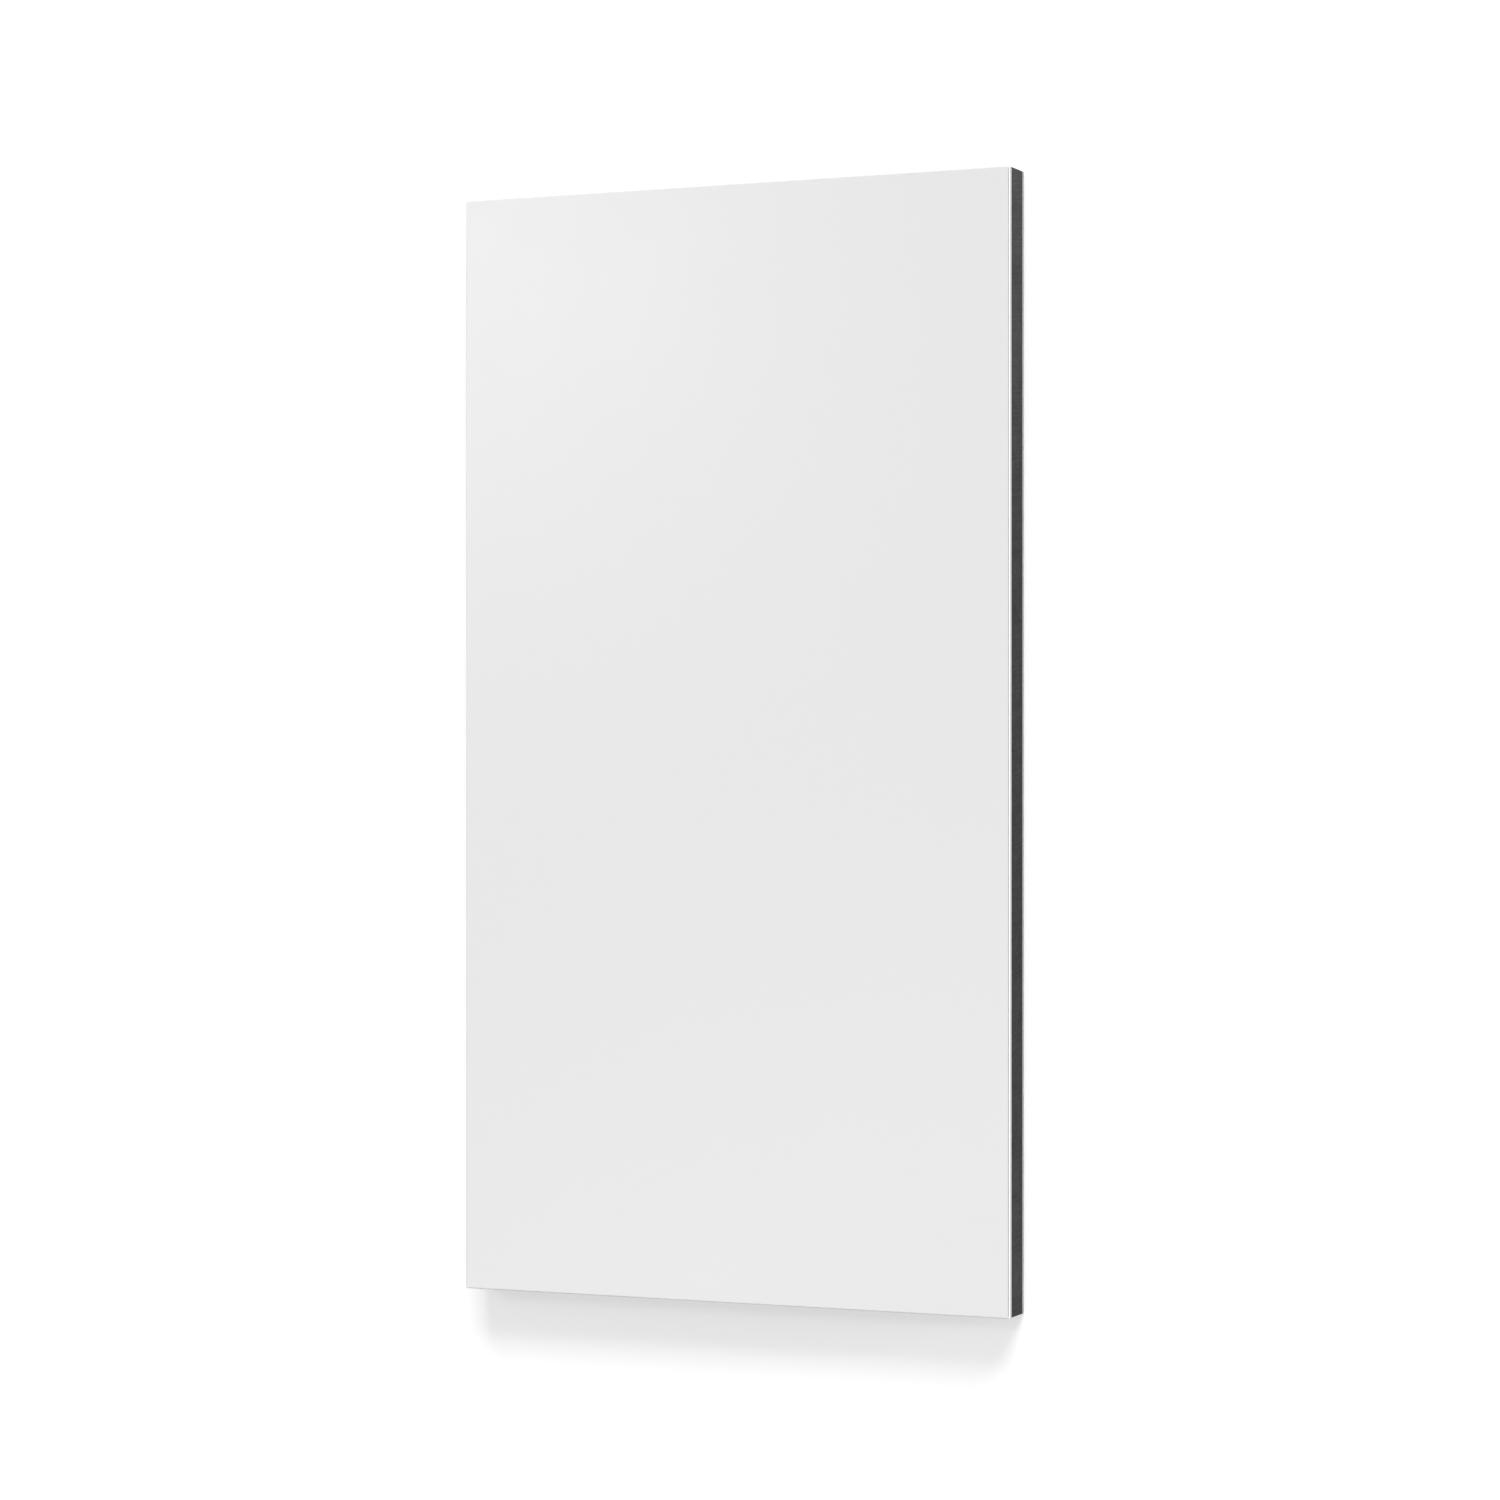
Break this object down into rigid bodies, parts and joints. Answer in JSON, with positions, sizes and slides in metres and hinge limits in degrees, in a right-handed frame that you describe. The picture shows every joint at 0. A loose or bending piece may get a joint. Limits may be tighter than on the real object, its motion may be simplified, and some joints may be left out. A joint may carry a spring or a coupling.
{
  "type": "aluminium wall panel",
  "caption": "Flat rectangular sandwich wall panel: white coated aluminium face, dark rigid core and bare aluminium back, with square flush edges.",
  "frame": {"origin": "middle of the bare back face, on the surface that the panel lies on", "axes": "+X across the panel's width, +Y along its length towards the edge that is uppermost on the wall, +Z out of the white face"},
  "size_m": [0.323, 0.61, 0.024],
  "materials": {
    "white_coating": "smooth satin white coating on aluminium",
    "dark_core": "matt, sawn, dark grey",
    "bare_aluminium": "mill finish, rolled along the length"
  },
  "bodies": {
    "root": {"front_sheet": "white_coating", "core": "dark_core", "back_sheet": "bare_aluminium"}
  },
  "joints": []
}
